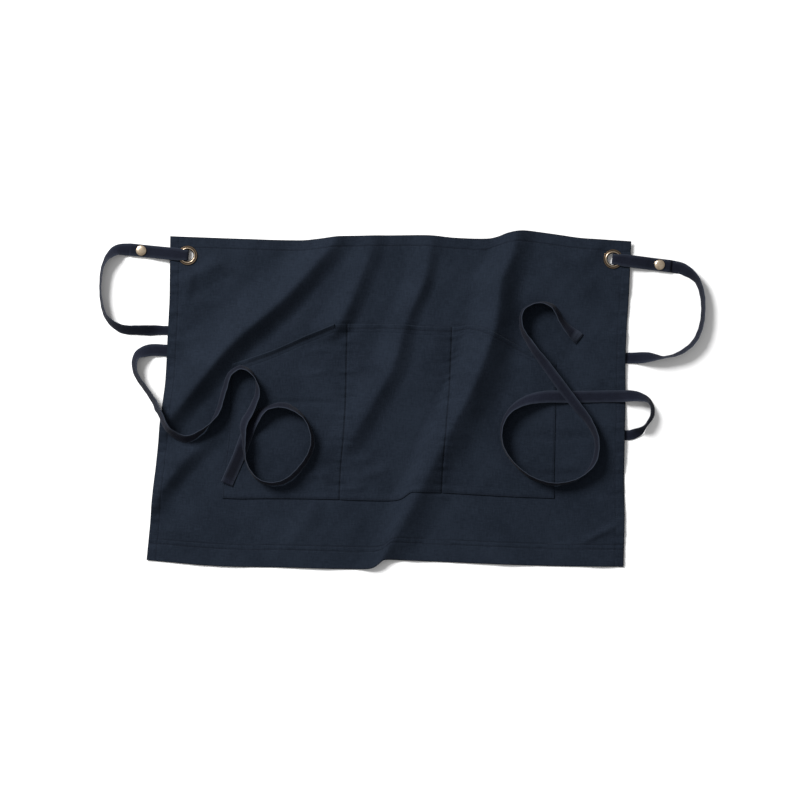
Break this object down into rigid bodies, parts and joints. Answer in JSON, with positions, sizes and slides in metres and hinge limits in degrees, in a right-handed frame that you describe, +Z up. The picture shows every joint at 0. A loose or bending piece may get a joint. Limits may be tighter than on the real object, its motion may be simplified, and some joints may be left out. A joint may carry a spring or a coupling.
{
  "type": "waist apron",
  "caption": "Short hemmed twill waist apron lying flat, with a kangaroo patch sewn into pockets, brass eyelets and long tape ties laid loosely over it.",
  "frame": {"origin": "centre of the panel's box at the surface that the apron lies on", "axes": "+X across the apron, +Y towards the waist edge, +Z up off the surface, out of the apron's front"},
  "size_m": [0.9311, 0.521, 0.0274],
  "materials": {
    "twill": "matt navy cotton twill",
    "tape": "matt navy cotton tape",
    "aged_brass": "antique, satin"
  },
  "bodies": {
    "root": {"panel": "twill", "pocket": "twill", "grommet_left": "aged_brass", "grommet_right": "aged_brass", "tie_left": "tape", "tie_right": "tape", "snap_left": "aged_brass", "snap_right": "aged_brass"}
  },
  "joints": []
}
